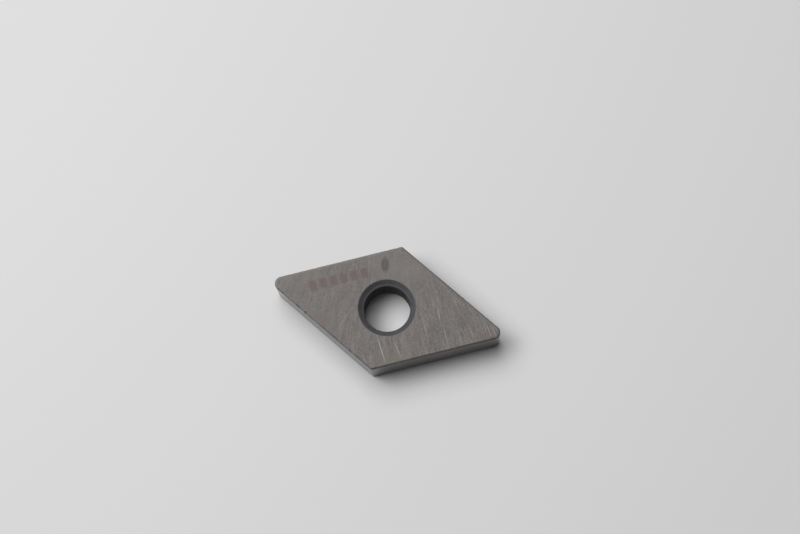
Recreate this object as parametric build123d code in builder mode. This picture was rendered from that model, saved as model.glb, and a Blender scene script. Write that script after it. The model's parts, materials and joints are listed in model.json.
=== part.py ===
# Double-sided turning insert: a 55 degree diamond, ground on both faces and all four flanks.
# X runs along the long diagonal between the two cutting noses, and Z is the thickness.
# The origin is on the bore's axis, in the plane of the lower face. Sizes in millimetres.

import os
from math import cos, radians, sin, tan

from build123d import *

# Diamond
inscribed_circle = 12.70  # circle that touches all four flanks
thickness = 4.76  # from one ground face to the other
nose_angle = 55.0  # between the two flanks that meet at a cutting nose
nose_radius = 0.80  # on the two cutting noses
blunt_radius = 0.30  # on the two obtuse corners

# Land: the narrow sloping band that strengthens the cutting edge, all round both faces
land_width = 0.20  # seen square to the face
land_angle = 20.0  # slope below the face
hone_radius = 0.03  # rounds the cutting edge, where land and flank meet

# Bore for the clamping pin, the same from either face
bore_diameter = 5.16
rim_width = 0.62  # countersink, seen square to the face
rim_angle = 45.0  # slope of the countersink below the face
rim_blend = 0.18  # rounds the countersink into the bore

half_length = inscribed_circle / 2 / sin(radians(nose_angle / 2))  # centre to the sharp nose point
half_width = inscribed_circle / 2 / cos(radians(nose_angle / 2))  # centre to the sharp obtuse point
land_depth = land_width * tan(radians(land_angle))
rim_depth = rim_width * tan(radians(rim_angle))

with BuildPart() as insert_body:
    # Diamond round its inscribed circle, with each pair of corners at its own radius
    with BuildSketch(Plane.XY) as diamond:
        with BuildLine():
            Polyline(
                (half_length, 0),
                (0, half_width),
                (-half_length, 0),
                (0, -half_width),
                close=True,
            )
        make_face()
        fillet(diamond.vertices().group_by(Axis.X)[1], radius=blunt_radius)
        fillet(diamond.vertices().group_by(Axis.Y)[1], radius=nose_radius)
    extrude(amount=thickness)

    # Land on the whole outline of both faces, noses included
    ground_faces = insert_body.faces().filter_by(Plane.XY)
    for face in ground_faces:
        chamfer(face.edges(), length=land_width, length2=land_depth, reference=face)

    # Cutting edges: each outline where a land meets the flanks
    flank_faces = insert_body.faces().filter_by(lambda face: abs(face.normal_at().Z) < 0.01)
    cutting_edges = flank_faces.edges().filter_by(Axis.Z, reverse=True)
    fillet(cutting_edges, radius=hone_radius)

    # Bore, countersunk and blended at both ends
    Hole(radius=bore_diameter / 2)
    rim_edges = insert_body.edges(Select.LAST).filter_by(GeomType.CIRCLE)
    chamfer(rim_edges, length=rim_width, length2=rim_depth)
    throat_edges = insert_body.edges().filter_by(GeomType.CIRCLE)
    throat_edges = throat_edges.filter_by(lambda edge: abs(edge.radius - bore_diameter / 2) < 0.001)
    fillet(throat_edges, radius=rim_blend)

insert_body.part.label = "insert_body"
os.makedirs("parts", exist_ok=True)
export_step(insert_body.part, "parts/insert_body.step")
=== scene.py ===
import json
from math import atan2, cos, hypot, pi, radians, sin, tan

import bpy
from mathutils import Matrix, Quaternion, Vector

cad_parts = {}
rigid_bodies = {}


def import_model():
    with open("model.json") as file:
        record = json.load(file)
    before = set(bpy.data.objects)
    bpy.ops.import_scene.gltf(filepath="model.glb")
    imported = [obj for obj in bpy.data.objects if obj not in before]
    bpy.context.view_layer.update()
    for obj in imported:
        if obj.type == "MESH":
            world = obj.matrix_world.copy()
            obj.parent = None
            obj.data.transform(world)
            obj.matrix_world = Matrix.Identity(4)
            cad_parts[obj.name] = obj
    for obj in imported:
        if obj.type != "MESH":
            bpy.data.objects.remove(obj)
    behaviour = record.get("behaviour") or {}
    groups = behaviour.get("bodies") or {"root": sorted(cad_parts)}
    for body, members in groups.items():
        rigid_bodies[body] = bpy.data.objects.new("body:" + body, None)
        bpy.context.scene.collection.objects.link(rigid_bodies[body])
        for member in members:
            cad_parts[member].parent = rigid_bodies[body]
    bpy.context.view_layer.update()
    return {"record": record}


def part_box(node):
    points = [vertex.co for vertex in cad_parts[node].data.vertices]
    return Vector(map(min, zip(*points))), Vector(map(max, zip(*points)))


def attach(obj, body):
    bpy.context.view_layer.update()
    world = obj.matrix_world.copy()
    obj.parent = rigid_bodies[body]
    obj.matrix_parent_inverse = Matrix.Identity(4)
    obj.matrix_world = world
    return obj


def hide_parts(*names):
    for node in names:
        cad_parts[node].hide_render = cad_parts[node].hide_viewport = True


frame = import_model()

mm = 0.001  # sizes are written in millimetres and built in metres
node = "insert_body"
mathKind = "ShaderNodeMath"
vectorKind = "ShaderNodeVectorMath"
rangeKind = "ShaderNodeMapRange"
mixKind = "ShaderNodeMix"
noiseKind = "ShaderNodeTexNoise"
mappingKind = "ShaderNodeMapping"
readKind = "GeometryNodeInputNamedAttribute"
storeKind = "GeometryNodeStoreNamedAttribute"


# sRGB hex to the linear values that Blender wants
def linearColour(hexText):
    channels = [int(hexText[i:i + 2], 16) / 255 for i in (1, 3, 5)]
    return [c / 12.92 if c <= 0.04045 else ((c + 0.055) / 1.055) ** 2.4 for c in channels] + [1.0]


# Adds a node with its settings; an input given a node or a socket is linked, any other is set
def addNode(tree, kind, inputs=(), **settings):
    made = tree.nodes.new(kind)
    for name, value in settings.items():
        setattr(made, name, value)
    for key, value in inputs.items() if isinstance(inputs, dict) else enumerate(inputs):
        if isinstance(value, bpy.types.Node):
            value = value.outputs[0]
        if isinstance(value, bpy.types.NodeSocket):
            tree.links.new(value, made.inputs[key])
        else:
            made.inputs[key].default_value = value
    return made


def newMaterial(name):
    material = bpy.data.materials.new(name)
    material.use_nodes = True
    return material, material.node_tree, material.node_tree.nodes["Principled BSDF"]


# The body: a closed section carried round the outline of the diamond
insertSizes = {
    "noseAngle": 55.0,
    "noseRadius": 0.80,
    "bluntRadius": 0.30,
    "landWidth": 0.20,
    "landAngle": 20.0,
    "honeRadius": 0.03,  # rounds the cutting edge
    "rimWidth": 0.62,  # countersink, seen square to the face
    "rimAngle": 45.0,
    "rimBlend": 0.18,  # rounds the countersink into the bore
    "brushedWidth": 0.24,  # the inner part of the countersink, worn bright
    "edgeBreak": 0.02,  # where the faces meet the lands and the countersinks
    "outlineStep": 0.055,  # between two stations on the outline
    "sectionStep": 0.05,  # finest spacing on the section; long runs are coarser
    "chipDepth": 0.10,
    "chipReach": 0.16,  # from the cutting edge
    "chipLength": 0.25,
    "chipNoise": (0.54, 0.72),  # a chip starts and is deepest at these values of the noise
    "chipSlant": 0.7,  # share of the depth that goes inwards, and the same downwards
}


def insertTree(finishes):
    tree = bpy.data.node_groups.new("insertShape", "GeometryNodeTree")
    tree.interface.new_socket("Geometry", in_out="OUTPUT", socket_type="NodeSocketGeometry")
    for name in (
            "longDiagonal", "halfShort", "inscribedRadius", "halfThickness", "noseRadius", "bluntRadius",
            "landStart", "edgeHeight", "honeRadius", "honeTangent", "boreRadius", "rimRadius", "coneFoot",
            "rimBlend", "wallEnd", "brushedEnd", "edgeBreak", "outlineStep", "sectionStep", "chipDepth",
            "chipReach", "chipLength"):
        tree.interface.new_socket(name, in_out="INPUT", socket_type="NodeSocketFloat")
    size = addNode(tree, "NodeGroupInput").outputs
    position = addNode(tree, "GeometryNodeInputPosition").outputs[0]

    # Outline: the diamond with its corners rounded, then cut into even steps
    kite = addNode(tree, "GeometryNodeCurvePrimitiveQuadrilateral", {
        "Width": size["longDiagonal"], "Bottom Height": size["halfShort"], "Top Height": size["halfShort"]},
        mode="KITE")
    cornerPlace = addNode(tree, "ShaderNodeSeparateXYZ", [position])
    cornerReach = addNode(tree, mathKind, [cornerPlace], operation="ABSOLUTE")
    atNose = addNode(tree, mathKind, [cornerReach, size["noseRadius"]], operation="GREATER_THAN")
    cornerRadius = addNode(tree, mixKind, {0: atNose, 2: size["bluntRadius"], 3: size["noseRadius"]})
    outline = addNode(tree, "GeometryNodeFilletCurve", {"Curve": kite, "Radius": cornerRadius, "Count": 40},
                      mode="POLY")
    outline = addNode(tree, "GeometryNodeResampleCurve", {"Curve": outline, "Length": size["outlineStep"]},
                      mode="LENGTH")
    tangent = addNode(tree, "GeometryNodeInputTangent")
    outward = addNode(tree, vectorKind, [tangent, (0, 0, 1)], operation="CROSS_PRODUCT")
    for name, value in (("outlinePlace", position), ("outward", outward)):
        outline = addNode(tree, storeKind, {"Geometry": outline, "Name": name, "Value": value},
                          data_type="FLOAT_VECTOR", domain="POINT")

    # Section: eight corners, rounded and subdivided; X is outward and Y is up
    index = addNode(tree, "GeometryNodeInputIndex")
    mirrored = addNode(tree, mathKind, [7, index], operation="SUBTRACT")
    corner = addNode(tree, mathKind, [index, mirrored], operation="MINIMUM")
    upper = addNode(tree, mathKind, [index, 3.5], operation="LESS_THAN")
    side = addNode(tree, mathKind, [upper, 2, -1], operation="MULTIPLY_ADD")
    corners = {  # from the bore outwards: bore, rim, land, cutting edge
        "x": ("FLOAT", size["boreRadius"], size["rimRadius"], size["landStart"], size["inscribedRadius"]),
        "z": ("FLOAT", size["coneFoot"], size["halfThickness"], size["halfThickness"], size["edgeHeight"]),
        "radius": ("FLOAT", size["rimBlend"], size["edgeBreak"], size["edgeBreak"], size["honeRadius"]),
        "count": ("INT", 6, 2, 2, 4),
    }
    at = {}
    for name, (dataType, *choices) in corners.items():
        at[name] = addNode(tree, "GeometryNodeIndexSwitch", data_type=dataType)
        while len(at[name].index_switch_items) < len(choices):
            at[name].index_switch_items.new()
        tree.links.new(corner.outputs[0], at[name].inputs["Index"])
        for i, choice in enumerate(choices, 1):
            if isinstance(choice, bpy.types.NodeSocket):
                tree.links.new(choice, at[name].inputs[i])
            else:
                at[name].inputs[i].default_value = choice
    height = addNode(tree, mathKind, [at["z"], side], operation="MULTIPLY")
    place = addNode(tree, "ShaderNodeCombineXYZ", [at["x"], height])
    section = addNode(tree, "GeometryNodeCurvePrimitiveCircle", {"Resolution": 8})
    section = addNode(tree, "GeometryNodeSetPosition", {"Geometry": section, "Position": place})
    section = addNode(tree, "GeometryNodeFilletCurve", {
        "Curve": section, "Count": at["count"], "Radius": at["radius"]}, mode="POLY")
    total = addNode(tree, "GeometryNodeAttributeDomainSize", {"Geometry": section}, component="CURVE")
    after = addNode(tree, mathKind, [index, 1], operation="ADD")
    after = addNode(tree, mathKind, [after, total.outputs["Point Count"]], operation="MODULO")
    nextPlace = addNode(tree, "GeometryNodeFieldAtIndex", {"Index": after, "Value": position},
                        data_type="FLOAT_VECTOR")
    gap = addNode(tree, vectorKind, [nextPlace, position], operation="DISTANCE").outputs["Value"]
    gap = addNode(tree, mathKind, [gap, size["sectionStep"]], operation="DIVIDE")
    cuts = addNode(tree, mathKind, [gap], operation="SQRT")
    section = addNode(tree, "GeometryNodeSubdivideCurve", {"Curve": section, "Cuts": cuts})
    section = addNode(tree, storeKind, {"Geometry": section, "Name": "section", "Value": position},
                      data_type="FLOAT_VECTOR", domain="POINT")
    skin = addNode(tree, "GeometryNodeCurveToMesh", {"Curve": outline, "Profile Curve": section})

    # Stations crowd towards both ends of each long run, so that the small roundings keep their shading
    onSection = addNode(tree, readKind, {"Name": "section"}, data_type="FLOAT_VECTOR")
    onOutline = addNode(tree, readKind, {"Name": "outlinePlace"}, data_type="FLOAT_VECTOR")
    outward = addNode(tree, readKind, {"Name": "outward"}, data_type="FLOAT_VECTOR")
    stations = addNode(tree, "ShaderNodeSeparateXYZ", [onSection])
    x, z = stations.outputs["X"], stations.outputs["Y"]
    faceLow = addNode(tree, mathKind, [size["rimRadius"], size["edgeBreak"]], operation="ADD")
    faceHigh = addNode(tree, mathKind, [size["landStart"], size["edgeBreak"]], operation="SUBTRACT")
    flankHigh = addNode(tree, mathKind, [size["edgeHeight"], size["honeTangent"]], operation="SUBTRACT")
    flankLow = addNode(tree, mathKind, [flankHigh, -1], operation="MULTIPLY")
    almost = addNode(tree, mathKind, [size["inscribedRadius"], 0.0001 * mm], operation="SUBTRACT")
    onFlank = addNode(tree, mathKind, [x, almost], operation="GREATER_THAN")
    placed = []
    for value, low, high, share in ((x, faceLow, faceHigh, 1), (z, flankLow, flankHigh, onFlank)):
        ends = {"Value": value, "From Min": low, "From Max": high, "To Min": low, "To Max": high}
        even = addNode(tree, rangeKind, ends)
        crowded = addNode(tree, rangeKind, ends, interpolation_type="SMOOTHSTEP")
        shift = addNode(tree, mathKind, [crowded, even], operation="SUBTRACT")
        placed.append(addNode(tree, mathKind, [shift, share, value], operation="MULTIPLY_ADD"))
    x, z = placed

    # Each station goes on a circle inside the rim, parallel to the outline from the land on, and in
    # proportion between them
    ray = addNode(tree, vectorKind, [onOutline], operation="NORMALIZE")
    reach = addNode(tree, mathKind, [x, size["rimRadius"]], operation="MINIMUM")
    inner = addNode(tree, vectorKind, {0: ray, "Scale": reach}, operation="SCALE")
    offset = addNode(tree, mathKind, [x, size["landStart"]], operation="MAXIMUM")
    offset = addNode(tree, mathKind, [offset, size["inscribedRadius"]], operation="SUBTRACT")
    outer = addNode(tree, vectorKind, {0: outward, "Scale": offset}, operation="SCALE")
    outer = addNode(tree, vectorKind, [onOutline, outer], operation="ADD")
    share = addNode(tree, rangeKind, {"Value": x, "From Min": size["rimRadius"],
                                      "From Max": size["landStart"]})
    flat = addNode(tree, mixKind, {0: share, 4: inner, 5: outer}, data_type="VECTOR").outputs[1]
    lift = addNode(tree, mathKind, [z, size["halfThickness"]], operation="ADD")
    lift = addNode(tree, "ShaderNodeCombineXYZ", {"Z": lift})
    lifted = addNode(tree, vectorKind, [flat, lift], operation="ADD")
    skin = addNode(tree, "GeometryNodeSetPosition", {"Geometry": skin, "Position": lifted})

    # Chips: small bites out of the cutting edges, where a noise along the outline is high
    aside = addNode(tree, mathKind, [x, size["inscribedRadius"]], operation="SUBTRACT")
    rise = addNode(tree, mathKind, [z], operation="ABSOLUTE")
    rise = addNode(tree, mathKind, [rise, size["edgeHeight"]], operation="SUBTRACT")
    apart = addNode(tree, "ShaderNodeCombineXYZ", [aside, rise])
    apart = addNode(tree, vectorKind, [apart], operation="LENGTH").outputs["Value"]
    near = addNode(tree, rangeKind, {"Value": apart, "From Max": size["chipReach"], "To Min": 1.0,
                                     "To Max": 0.0}, interpolation_type="SMOOTHSTEP")
    upDown = addNode(tree, mathKind, [z], operation="SIGN")
    patternShift = addNode(tree, "ShaderNodeCombineXYZ", {"Z": upDown})  # so the two edges chip differently
    patternPlace = addNode(tree, vectorKind, [onOutline, patternShift], operation="ADD")
    patternScale = addNode(tree, mathKind, [1, size["chipLength"]], operation="DIVIDE")
    bite = addNode(tree, noiseKind, {"Vector": patternPlace, "Scale": patternScale, "Detail": 4,
                                     "Roughness": 0.6})
    start, full = insertSizes["chipNoise"]
    bite = addNode(tree, rangeKind, {"Value": bite, "From Min": start, "From Max": full})
    chip = addNode(tree, mathKind, [near, bite], operation="MULTIPLY")
    slant = -insertSizes["chipSlant"]
    inward = addNode(tree, vectorKind, {0: outward, "Scale": slant}, operation="SCALE")
    downward = addNode(tree, mathKind, [upDown, slant], operation="MULTIPLY")
    downward = addNode(tree, "ShaderNodeCombineXYZ", {"Z": downward})
    inward = addNode(tree, vectorKind, [inward, downward], operation="ADD")
    depth = addNode(tree, mathKind, [chip, size["chipDepth"]], operation="MULTIPLY")
    push = addNode(tree, vectorKind, {0: inward, "Scale": depth}, operation="SCALE")
    skin = addNode(tree, storeKind, {"Geometry": skin, "Name": "chip", "Value": chip},
                   data_type="FLOAT", domain="POINT")
    skin = addNode(tree, "GeometryNodeSetPosition", {"Geometry": skin, "Offset": push})
    skin = addNode(tree, "GeometryNodeSetShadeSmooth", {"Geometry": skin})

    # Finishes, from the faces outwards and then the bore
    skin = addNode(tree, "GeometryNodeRealizeInstances", {"Geometry": skin})
    halfHone = addNode(tree, mathKind, [size["honeRadius"], 0.35], operation="MULTIPLY")
    flankStart = addNode(tree, mathKind, [size["inscribedRadius"], halfHone], operation="SUBTRACT")
    regions = (
        ("face", x, "GREATER_THAN", 0),
        ("land", x, "GREATER_THAN", size["landStart"]),
        ("flank", x, "GREATER_THAN", flankStart),
        ("skin", x, "LESS_THAN", size["rimRadius"]),
        ("brushedRim", x, "LESS_THAN", size["brushedEnd"]),
        ("skin", x, "LESS_THAN", size["wallEnd"]),
    )
    for name, value, test, limit in regions:
        chosen = addNode(tree, mathKind, [value, limit], operation=test)
        skin = addNode(tree, "GeometryNodeSetMaterial", {
            "Geometry": skin, "Selection": chosen, "Material": finishes[name]})
    addNode(tree, "NodeGroupOutput", {"Geometry": skin})
    return tree


def buildInsert(finishes):
    s = insertSizes
    mounts = {m["name"]: m for m in frame["record"]["mounts"]}
    low, high = (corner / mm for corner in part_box(node))
    boreRadius = mounts["bore"]["dims"]["r_mm"]
    flankPlace = mounts["flank_front_right"]["pos_m"]
    inscribedRadius = hypot(flankPlace[0], flankPlace[1]) / mm
    halfThickness = (high.z - low.z) / 2
    halfNose = radians(s["noseAngle"] / 2)
    values = {
        "longDiagonal": 2 * inscribedRadius / sin(halfNose),
        "halfShort": inscribedRadius / cos(halfNose),
        "inscribedRadius": inscribedRadius,
        "halfThickness": halfThickness,
        "landStart": inscribedRadius - s["landWidth"],
        "edgeHeight": halfThickness - s["landWidth"] * tan(radians(s["landAngle"])),
        "honeTangent": s["honeRadius"] * tan(radians(90 - s["landAngle"]) / 2),
        "boreRadius": boreRadius,
        "rimRadius": boreRadius + s["rimWidth"],
        "coneFoot": halfThickness - s["rimWidth"] * tan(radians(s["rimAngle"])),
        "wallEnd": boreRadius + 0.001,  # just outside the straight wall of the bore
        "brushedEnd": boreRadius + s["brushedWidth"],
    }
    values.update((name, s[name]) for name in (
        "noseRadius", "bluntRadius", "honeRadius", "rimBlend", "edgeBreak", "outlineStep", "sectionStep",
        "chipDepth", "chipReach", "chipLength"))
    tree = insertTree(finishes)
    start = bpy.data.objects.new("start", bpy.data.meshes.new("start"))
    bpy.context.scene.collection.objects.link(start)
    modifier = start.modifiers.new("shape", "NODES")
    modifier.node_group = tree
    for item in tree.interface.items_tree:
        if item.in_out == "INPUT":
            modifier[item.identifier] = values[item.name] * mm
    bpy.context.view_layer.update()
    mesh = bpy.data.meshes.new_from_object(start.evaluated_get(bpy.context.evaluated_depsgraph_get()))
    bpy.data.objects.remove(start)
    mesh.name = "insertBody"
    piece = bpy.data.objects.new("insertBody", mesh)
    bpy.context.scene.collection.objects.link(piece)
    print("insert body:", len(mesh.vertices), "vertices,", len(mesh.polygons), "faces")
    return piece


# Silicon nitride, face ground on a wheel: warm grey, matt, with short fine strokes that fan from one point
groundFaceLook = {
    "colour": "#57514d",
    "roughness": 0.70,
    "ior": 1.8,
    "fanCentre": (-5.4, 20.5),
    "fanRadius": 20.5,  # where the stroke widths below are true
    # width, length, turn from the fan, share of the colour, share of the height;
    # drawn coarser than the real 0.02 mm strokes, to show
    "strokes": (
        (0.23, 2.6, 0, 0.50, 1.0),
        (0.20, 1.6, 20, 0.34, 0.8),
        (0.20, 1.8, -15, 0.28, 0.6),
        (0.15, 5.0, 4, 0.30, 0.4),
        (0.60, 4.0, 0, 0.16, 0.0),
    ),
    "strokeDepth": 0.006,
    "grainSize": 0.22,
    "grainShare": 0.40,
    "contrast": 5.2,
    "leftShare": 0.9,  # the left nose is ground smoother than the right
    "leftToRight": (-9, 9),  # and the strokes change between these
    "mottleSize": 2.2,
    "mottleContrast": 0.5,
    # x, y at both ends, width, strength
    "scratches": (
        (-0.5, -3.05, 1.5, -6.35, 0.09, 0.9),
        (1.3, -3.0, 3.25, -5.6, 0.08, 0.65),
        (5.2, 1.75, 6.3, -0.5, 0.08, 0.75),
        (6.1, 0.1, 7.95, -3.1, 0.07, 0.65),
        (3.5, 0.9, 5.95, -3.9, 0.06, 0.35),
        (-3.4, 0.2, -5.0, -4.4, 0.07, 0.35),
        (3.6, 4.0, 3.33, 2.1, 0.06, 0.35),
        (10.5, 1.25, 11.5, -0.55, 0.06, 0.5),
        (10.9, 1.0, 12.1, -0.8, 0.07, 0.65),
        (11.5, 0.9, 12.7, -0.6, 0.06, 0.5),
        (-1.6, -5.5, -0.6, -6.75, 0.07, 0.5),
        (0.2, -3.3, 1.0, -4.6, 0.05, 0.35),
    ),
    "scratchColour": "#b4b0ac",
    # x, y, half length, half width, turn, strength, colour
    "stainsAndSheen": (
        (-6.6, -3.0, 1.1, 0.6, -30, 0.35, "#5a4238"),
        (11.2, -0.6, 1.6, 0.35, 27, 0.25, "#5c3c3c"),
        (1.9, -5.4, 1.6, 0.7, 27, 0.30, "#5a5240"),
        # the last two, pale, are painted sheen: lighter patches where the face catches more light
        (0.4, 4.9, 4.6, 2.0, 0, 0.28, "#6a635e"),
        (-9.6, 0.9, 2.8, 1.4, 27, 0.20, "#6a635e"),
    ),
    "inkColour": "#4c3437",
    "inkStart": (-9.1, 0.28),
    "inkAngle": 27.5,
    "inkPitch": 1.17,
    "inkCount": 6,
    "inkHalfHeight": 0.62,
    "inkStrength": 0.92,
    "wearSize": 2.2,
    "wearFloor": 0.8,  # share of the ink left where it is worn most
    "wearNoise": (0.3, 0.55),  # values of the noise between which the wear ends
    "inkEdgeAcross": (0.20, 0.46),  # a block fades out between these, from its middle: shares of the pitch
    "inkEdgeUp": (0.65, 1.15),  # and these shares of its half height
    "patchEdge": (0.5, 1.15),  # stains, painted sheen patches and stamp fade out between these shares of their half sizes
    "scratchEdge": (0.3, 1.0),  # and scratches between these
    "ridgeRoughness": 0.4,
    "stampColour": "#2c2a26",
    "stampPlace": (-1.35, 4.7),
    "stampHalfSize": (0.52, 1.0),
    "stampTurn": 106,
    "stampStrength": 0.95,
}


def groundFace():
    look = groundFaceLook
    material, tree, shader = newMaterial("groundSiliconNitride")
    place = addNode(tree, "ShaderNodeTexCoord").outputs["Object"]
    inMm = addNode(tree, vectorKind, {0: place, "Scale": 1 / mm}, operation="SCALE")
    onAxes = addNode(tree, "ShaderNodeSeparateXYZ", [inMm])
    upperFace = addNode(tree, mathKind, [onAxes.outputs["Z"], 1.0], operation="GREATER_THAN")

    # Grinding strokes, in polar places round the fan's centre: X runs across them and Y along them
    fanX, fanY = look["fanCentre"]
    fromFan = addNode(tree, vectorKind, [inMm, (fanX, fanY, 0)], operation="SUBTRACT")
    fromFan = addNode(tree, vectorKind, [fromFan, (1, 1, 0)], operation="MULTIPLY")
    fanAxes = addNode(tree, "ShaderNodeSeparateXYZ", [fromFan])
    turn = addNode(tree, mathKind, [fanAxes.outputs["X"], fanAxes.outputs["Y"]], operation="ARCTAN2")
    across = addNode(tree, mathKind, [turn, look["fanRadius"]], operation="MULTIPLY")
    along = addNode(tree, vectorKind, [fromFan], operation="LENGTH").outputs["Value"]
    polar = addNode(tree, "ShaderNodeCombineXYZ", [across, along, upperFace])
    grain = addNode(tree, noiseKind, {"Vector": inMm, "Scale": 1 / look["grainSize"], "Detail": 2})
    grain = addNode(tree, mathKind, [grain, 0.5], operation="SUBTRACT")
    tone = addNode(tree, mathKind, [grain, look["grainShare"]], operation="MULTIPLY")
    ridge = addNode(tree, mathKind, [grain, look["grainShare"]], operation="MULTIPLY")
    for i, (width, length, angle, toneShare, heightShare) in enumerate(look["strokes"]):
        stretched = addNode(tree, mappingKind, {
            "Vector": polar, "Location": (3.1 * i, 1.7 * i, 0), "Rotation": (0, 0, radians(angle)),
            "Scale": (width, length, 0.2)}, vector_type="TEXTURE")
        stroke = addNode(tree, noiseKind, {"Vector": stretched, "Scale": 1, "Detail": 2, "Roughness": 0.6})
        stroke = addNode(tree, mathKind, [stroke, 0.5], operation="SUBTRACT")
        tone = addNode(tree, mathKind, [stroke, toneShare, tone], operation="MULTIPLY_ADD")
        ridge = addNode(tree, mathKind, [stroke, heightShare, ridge], operation="MULTIPLY_ADD")
    contrast = look["contrast"]
    left, right = look["leftToRight"]
    amount = addNode(tree, rangeKind, {"Value": onAxes.outputs["X"], "From Min": left, "From Max": right,
                                       "To Min": contrast * look["leftShare"], "To Max": contrast})
    tone = addNode(tree, mathKind, [tone, amount, 1.0], operation="MULTIPLY_ADD")
    mottle = addNode(tree, noiseKind, {"Vector": inMm, "Scale": 1 / look["mottleSize"], "Detail": 3})
    mottle = addNode(tree, mathKind, [mottle, 0.5], operation="SUBTRACT")
    tone = addNode(tree, mathKind, [mottle, look["mottleContrast"], tone], operation="MULTIPLY_ADD")
    colour = linearColour(look["colour"])[:3]
    colour = addNode(tree, vectorKind, {0: colour, "Scale": tone}, operation="SCALE")

    # Handling scratches, each a long thin ellipse
    scratch = 0.0
    full, gone = look["scratchEdge"]
    for x0, y0, x1, y1, width, strength in look["scratches"]:
        local = addNode(tree, mappingKind, {
            "Vector": inMm, "Location": ((x0 + x1) / 2, (y0 + y1) / 2, 0),
            "Rotation": (0, 0, atan2(y1 - y0, x1 - x0)),
            "Scale": (hypot(x1 - x0, y1 - y0) / 2, width / 2, 1000)}, vector_type="TEXTURE")
        spread = addNode(tree, vectorKind, [local], operation="LENGTH").outputs["Value"]
        mark = addNode(tree, rangeKind, {"Value": spread, "From Min": full, "From Max": gone,
                                         "To Min": strength, "To Max": 0.0})
        scratch = addNode(tree, mathKind, [mark, scratch], operation="MAXIMUM")
    scratch = addNode(tree, mathKind, [scratch, upperFace], operation="MULTIPLY")

    # Worn ink on the upper face: a row of plain blocks and a small oval stamp
    wear = addNode(tree, noiseKind, {"Vector": inMm, "Scale": 1 / look["wearSize"], "Detail": 3})
    worn, whole = look["wearNoise"]
    wear = addNode(tree, rangeKind, {"Value": wear, "From Min": worn, "From Max": whole,
                                     "To Min": look["wearFloor"]})
    row = addNode(tree, mappingKind, {
        "Vector": inMm, "Location": (*look["inkStart"], 0), "Rotation": (0, 0, radians(look["inkAngle"])),
        "Scale": (look["inkPitch"], look["inkHalfHeight"], 1000)}, vector_type="TEXTURE")
    rowAxes = addNode(tree, "ShaderNodeSeparateXYZ", [row])
    step = addNode(tree, mathKind, [rowAxes.outputs["X"]], operation="FRACT")
    step = addNode(tree, mathKind, [step, 0.5], operation="SUBTRACT")
    step = addNode(tree, mathKind, [step], operation="ABSOLUTE")
    tall = addNode(tree, mathKind, [rowAxes.outputs["Y"]], operation="ABSOLUTE")
    blockWide, blockTall = (
        addNode(tree, rangeKind, {"Value": value, "From Min": look[edge][0], "From Max": look[edge][1],
                                  "To Min": 1.0, "To Max": 0.0}, interpolation_type="SMOOTHSTEP")
        for value, edge in ((step, "inkEdgeAcross"), (tall, "inkEdgeUp")))
    fromMiddle = addNode(tree, mathKind, [rowAxes.outputs["X"], look["inkCount"] / 2], operation="SUBTRACT")
    fromMiddle = addNode(tree, mathKind, [fromMiddle], operation="ABSOLUTE")
    inRow = addNode(tree, mathKind, [fromMiddle, look["inkCount"] / 2], operation="LESS_THAN")
    ink = wear
    for part in (blockWide, blockTall, inRow, upperFace, look["inkStrength"]):
        ink = addNode(tree, mathKind, [ink, part], operation="MULTIPLY")
    paints = []
    stamp = (*look["stampPlace"], *look["stampHalfSize"][::-1], look["stampTurn"], look["stampStrength"],
             look["stampColour"])
    # the patches are real stains, two painted sheen patches and the stamp
    patches = (*look["stainsAndSheen"], stamp)
    patchFull, patchGone = look["patchEdge"]
    for x, y, halfLength, halfWidth, angle, strength, paint in patches:
        patch = addNode(tree, mappingKind, {
            "Vector": inMm, "Location": (x, y, 0), "Rotation": (0, 0, radians(angle)),
            "Scale": (halfLength, halfWidth, 1000)}, vector_type="TEXTURE")
        patch = addNode(tree, vectorKind, [patch], operation="LENGTH").outputs["Value"]
        patch = addNode(tree, rangeKind, {
            "Value": patch, "From Min": patchFull, "From Max": patchGone, "To Min": strength, "To Max": 0.0},
            interpolation_type="SMOOTHSTEP")
        for part in (wear, upperFace):
            patch = addNode(tree, mathKind, [patch, part], operation="MULTIPLY")
        paints.append((patch, paint))
    paints += [(ink, look["inkColour"]), (scratch, look["scratchColour"])]
    for amount, paint in paints:
        colour = addNode(tree, mixKind, {0: amount, 6: colour, 7: linearColour(paint)},
                         data_type="RGBA").outputs[2]

    bare = addNode(tree, mathKind, [1.0, ink], operation="SUBTRACT")  # ink fills the strokes
    ridge = addNode(tree, mathKind, [ridge, bare], operation="MULTIPLY")
    height = addNode(tree, mathKind, [scratch, -1.0, ridge], operation="MULTIPLY_ADD")
    bump = addNode(tree, "ShaderNodeBump", {"Height": height, "Distance": look["strokeDepth"] * mm})
    roughness = addNode(tree, mathKind, [ridge, look["ridgeRoughness"], look["roughness"]],
                        operation="MULTIPLY_ADD")
    surface = (("Base Color", colour), ("Roughness", roughness.outputs[0]), ("Normal", bump.outputs[0]))
    for socket, value in surface:
        tree.links.new(value, shader.inputs[socket])
    shader.inputs["IOR"].default_value = look["ior"]
    return material


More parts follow.
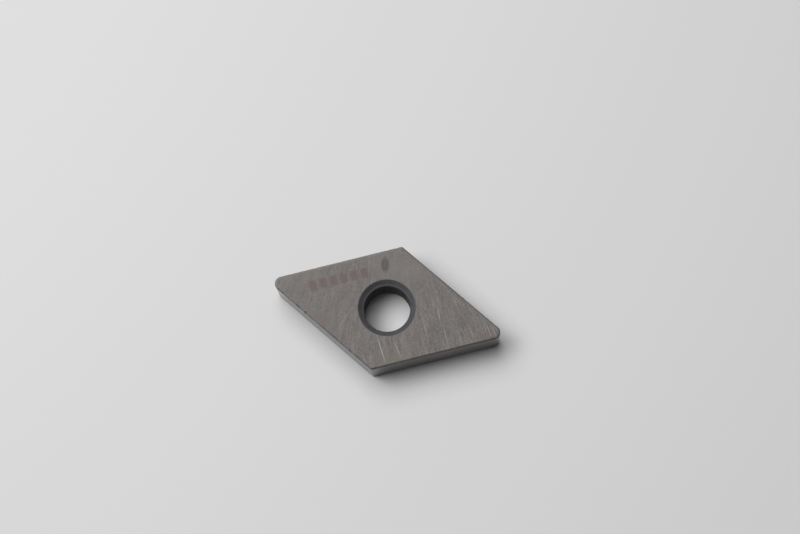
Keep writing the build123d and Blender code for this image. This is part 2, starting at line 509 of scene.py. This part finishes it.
# The same ceramic, ground round the outline: level lines, finer than on the faces, and glossier
groundFlankLook = {
    "colour": "#433a38",
    "roughness": 0.18,
    "ior": 1.45,
    "lineWidth": 0.04,
    "lineLength": 5.0,
    "lineContrast": 0.5,
    "lineDepth": 0.003,
    "lineRoughness": 0.3,
    "mottleSize": 1.2,
    "mottleContrast": 0.3,
    "chipRoughness": 0.4,  # added where the edge is chipped
    "chipColour": "#61544b",
    # The dark brown set below, on the upper lands that face away from the lamps, is partly painted shade and
    # partly the brown tint of the worn edge
    "shadeAndDirt": 0.0,
    "shadeAndDirtSize": 0.7,
    "shadeAndDirtNoise": (0.25, 0.45),  # values of the noise between which the painted shade and dirt thicken
    "farShadeAndDirt": 0.6,  # share of the painted shade and dirt on the side that faces +X and +Y
    "shadeAndDirtFade": (0.3, -0.6),  # it fades in between these places beside the axes
    "shadeAndDirtHeights": (4.725, 4.70),  # it starts and is full at these heights above the lower face
    "shadeAndDirtColour": "#1f1916",
}
# The land round both faces, ground last at a slant with a finer wheel: satin
groundLandLook = {
    **groundFlankLook,
    "colour": "#5b5651",
    "roughness": 0.45,
    "ior": 1.95,
    "lineWidth": 0.02,
    # the land takes the full painted shade and brown tint
    "shadeAndDirt": 1.0,
}


def groundEdge(name, look):
    material, tree, shader = newMaterial(name)
    place = addNode(tree, "ShaderNodeTexCoord").outputs["Object"]
    lines = addNode(tree, mappingKind, {"Vector": place, "Scale": (
        look["lineLength"] * mm, look["lineLength"] * mm, look["lineWidth"] * mm)}, vector_type="TEXTURE")
    lines = addNode(tree, noiseKind, {"Vector": lines, "Scale": 1, "Detail": 3, "Roughness": 0.6})
    lines = addNode(tree, mathKind, [lines, 0.5], operation="SUBTRACT")
    mottle = addNode(tree, noiseKind, {"Vector": place, "Scale": 1 / look["mottleSize"] / mm, "Detail": 3})
    even = 1 - look["mottleContrast"] / 2  # keeps the mean tone at 1
    tone = addNode(tree, mathKind, [mottle, look["mottleContrast"], even], operation="MULTIPLY_ADD")
    tone = addNode(tree, mathKind, [lines, look["lineContrast"], tone], operation="MULTIPLY_ADD")
    colour = linearColour(look["colour"])[:3]
    colour = addNode(tree, vectorKind, {0: colour, "Scale": tone}, operation="SCALE")

    # Painted shade and brown dirt on the upper edges, on the sides that face away from the lamps: over the
    # whole land on the side that faces -Y, and only on the cutting edge where it faces +X and +Y
    onAxes = addNode(tree, "ShaderNodeSeparateXYZ", [place])
    unmarked, full = (distance * mm for distance in look["shadeAndDirtFade"])
    nearSide = addNode(tree, rangeKind, {"Value": onAxes.outputs["Y"], "From Min": unmarked, "From Max": full})
    farSide = addNode(tree, rangeKind, {"Value": onAxes.outputs["X"], "From Min": full, "From Max": unmarked,
                                        "To Max": look["farShadeAndDirt"]})
    edgeTop, edgeFoot = look["shadeAndDirtHeights"]
    outermost = addNode(tree, rangeKind, {"Value": onAxes.outputs["Z"], "From Min": edgeTop * mm,
                                          "From Max": edgeFoot * mm})
    farSide = addNode(tree, mathKind, [farSide, outermost], operation="MULTIPLY")
    shadeAndDirtSides = addNode(tree, mathKind, [nearSide, farSide], operation="MAXIMUM")
    above = addNode(tree, mathKind, [onAxes.outputs["Z"], 1.0 * mm], operation="GREATER_THAN")
    shadeAndDirt = addNode(tree, noiseKind, {"Vector": place, "Scale": 1 / look["shadeAndDirtSize"] / mm, "Detail": 4})
    thin, thick = look["shadeAndDirtNoise"]
    shadeAndDirt = addNode(tree, rangeKind, {"Value": shadeAndDirt, "From Min": thin, "From Max": thick,
                                     "To Max": look["shadeAndDirt"]})
    for part in (shadeAndDirtSides, above):
        shadeAndDirt = addNode(tree, mathKind, [shadeAndDirt, part], operation="MULTIPLY")
    colour = addNode(tree, mixKind, {0: shadeAndDirt, 6: colour, 7: linearColour(look["shadeAndDirtColour"])},
                     data_type="RGBA").outputs[2]
    chip = addNode(tree, "ShaderNodeAttribute", attribute_name="chip").outputs["Fac"]
    colour = addNode(tree, mixKind, {0: chip, 6: colour, 7: linearColour(look["chipColour"])},
                     data_type="RGBA").outputs[2]
    roughness = addNode(tree, mathKind, [lines, look["lineRoughness"], look["roughness"]],
                        operation="MULTIPLY_ADD")
    roughness = addNode(tree, mathKind, [chip, look["chipRoughness"], roughness],
                        operation="MULTIPLY_ADD").outputs[0]
    bump = addNode(tree, "ShaderNodeBump", {"Height": lines, "Distance": look["lineDepth"] * mm}).outputs[0]
    for socket, value in (("Base Color", colour), ("Roughness", roughness), ("Normal", bump)):
        tree.links.new(value, shader.inputs[socket])
    shader.inputs["IOR"].default_value = look["ior"]
    return material


# The skin left by the sintering furnace in the bore: dark grey, fine grained and dull, never ground
furnaceSkinLook = {
    "colour": "#515054",
    "roughness": 0.85,
    "ior": 1.5,
    "specular": 0.1,
    "grainSize": 0.08,
    "grainDepth": 0.003,
    "grainContrast": 0.4,
    "patchSize": 0.9,
    "patchContrast": 0.5,
    "patchRoughness": 0.2,
    "wallRadius": 2.6,
    "rimLightRadius": 2.8,
    "wallShadeShare": 0.88,  # painted shade: the wall of the bore is painted darker than its countersinks
}
# The inner part of the countersink, brushed by clamping pins: the same colour, but it catches the light
brushedRimLook = {**furnaceSkinLook, "roughness": 0.30, "ior": 2.1, "specular": 0.5, "grainDepth": 0.001}


def boreSkin(name, look):
    material, tree, shader = newMaterial(name)
    place = addNode(tree, "ShaderNodeTexCoord").outputs["Object"]
    grain = addNode(tree, noiseKind, {"Vector": place, "Scale": 1 / look["grainSize"] / mm, "Detail": 3})
    patch = addNode(tree, noiseKind, {"Vector": place, "Scale": 1 / look["patchSize"] / mm, "Detail": 3})
    even = 1 - (look["patchContrast"] + look["grainContrast"]) / 2  # keeps the mean tone at 1
    tone = addNode(tree, mathKind, [patch, look["patchContrast"], even], operation="MULTIPLY_ADD")
    tone = addNode(tree, mathKind, [grain, look["grainContrast"], tone], operation="MULTIPLY_ADD")
    fromAxis = addNode(tree, vectorKind, [place, (1, 1, 0)], operation="MULTIPLY")
    fromAxis = addNode(tree, vectorKind, [fromAxis], operation="LENGTH").outputs["Value"]
    # Painted shade: the colour darkens from the countersink down into the bore wall
    light = addNode(tree, rangeKind, {"Value": fromAxis, "From Min": look["wallRadius"] * mm,
                                      "From Max": look["rimLightRadius"] * mm, "To Min": look["wallShadeShare"]})
    tone = addNode(tree, mathKind, [tone, light], operation="MULTIPLY")
    colour = linearColour(look["colour"])[:3]
    colour = addNode(tree, vectorKind, {0: colour, "Scale": tone}, operation="SCALE")
    tree.links.new(colour.outputs[0], shader.inputs["Base Color"])
    smoothest = look["roughness"] - look["patchRoughness"] / 2
    roughness = addNode(tree, mathKind, [patch, look["patchRoughness"], smoothest], operation="MULTIPLY_ADD")
    tree.links.new(roughness.outputs[0], shader.inputs["Roughness"])
    bump = addNode(tree, "ShaderNodeBump", {"Height": grain, "Distance": look["grainDepth"] * mm})
    tree.links.new(bump.outputs[0], shader.inputs["Normal"])
    shader.inputs["IOR"].default_value = look["ior"]
    shader.inputs["Specular IOR Level"].default_value = look["specular"]
    return material


finishes = {
    "face": groundFace(),
    "land": groundEdge("groundLand", groundLandLook),
    "flank": groundEdge("groundFlank", groundFlankLook),
    "skin": boreSkin("sinteredBoreSkin", furnaceSkinLook),
    "brushedRim": boreSkin("brushedBoreRim", brushedRimLook),
}
insert = buildInsert(finishes)
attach(insert, "root")
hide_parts(node)
print("insert rides on its body")

studio = {
    "floorColour": "#d4d4d4",
    "floorSize": 4000.0,
    "ambient": 0.11,  # strength of the world as a light
    "background": 0.32,  # strength of the world as it is seen
    # name, elevation, azimuth from +X, width seen from the insert (degrees), distance, share of the light
    "lamps": (("keyLamp", 67, 140, 46, 420.0, 0.59), ("sideLamp", 60, 185, 30, 420.0, 0.31)),
    "cameraPlace": (14.162, -31.990, 166.864),
    "cameraAim": (0.121, 5.364, 2.38),
    "cameraRoll": -7.17,
    "lens": 67.5,
}


def buildStudio():
    scene = bpy.context.scene
    half = studio["floorSize"] / 2 * mm
    mesh = bpy.data.meshes.new("floor")
    corners = [(-half, -half, 0), (half, -half, 0), (half, half, 0), (-half, half, 0)]
    mesh.from_pydata(corners, [], [(0, 1, 2, 3)])
    floor = bpy.data.objects.new("floor", mesh)
    scene.collection.objects.link(floor)
    material, tree, shader = newMaterial("paleBoard")
    shader.inputs["Base Color"].default_value = linearColour(studio["floorColour"])
    shader.inputs["Roughness"].default_value = 0.9
    shader.inputs["Specular IOR Level"].default_value = 0.1
    mesh.materials.append(material)

    for name, elevation, azimuth, width, distance, share in studio["lamps"]:
        up, turn, spread = radians(elevation), radians(azimuth), radians(width / 2)
        toLamp = Vector((cos(up) * cos(turn), cos(up) * sin(turn), sin(up)))
        light = bpy.data.lights.new(name, "AREA")
        light.shape = "DISK"
        light.size = 2 * distance * tan(spread) * mm
        light.energy = share * (pi * distance * mm) ** 2 / cos(spread) ** 2 / sin(up)
        lamp = bpy.data.objects.new(name, light)
        lamp.location = toLamp * distance * mm
        lamp.rotation_euler = (-toLamp).to_track_quat("-Z", "Y").to_euler()
        scene.collection.objects.link(lamp)

    world = bpy.data.worlds.new("studioWorld")
    world.use_nodes = True
    scene.world = world
    tree = world.node_tree
    path = addNode(tree, "ShaderNodeLightPath").outputs
    seen = addNode(tree, mathKind, [path["Is Camera Ray"], path["Is Glossy Ray"]], operation="MAXIMUM")
    seen = addNode(tree, mathKind, [seen, path["Is Transmission Ray"]], operation="MAXIMUM")
    strength = addNode(tree, mixKind, {0: seen, 2: studio["ambient"], 3: studio["background"]})
    background = tree.nodes["Background"]
    background.inputs["Color"].default_value = (1, 1, 1, 1)
    tree.links.new(strength.outputs[0], background.inputs["Strength"])

    place, aim = (Vector(studio[name]) * mm for name in ("cameraPlace", "cameraAim"))
    camera = bpy.data.objects.new("camera", bpy.data.cameras.new("camera"))
    camera.location = place
    facing = (aim - place).to_track_quat("-Z", "Y")
    camera.rotation_mode = "QUATERNION"
    camera.rotation_quaternion = facing @ Quaternion((0, 0, 1), radians(studio["cameraRoll"]))
    camera.data.sensor_width = 36
    camera.data.lens = studio["lens"]
    camera.data.clip_start = 0.01
    scene.collection.objects.link(camera)
    scene.camera = camera
    scene.view_settings.view_transform = "Standard"
    bpy.context.view_layer.update()
    print("studio: floor,", len(studio["lamps"]), "lamps and camera")


buildStudio()
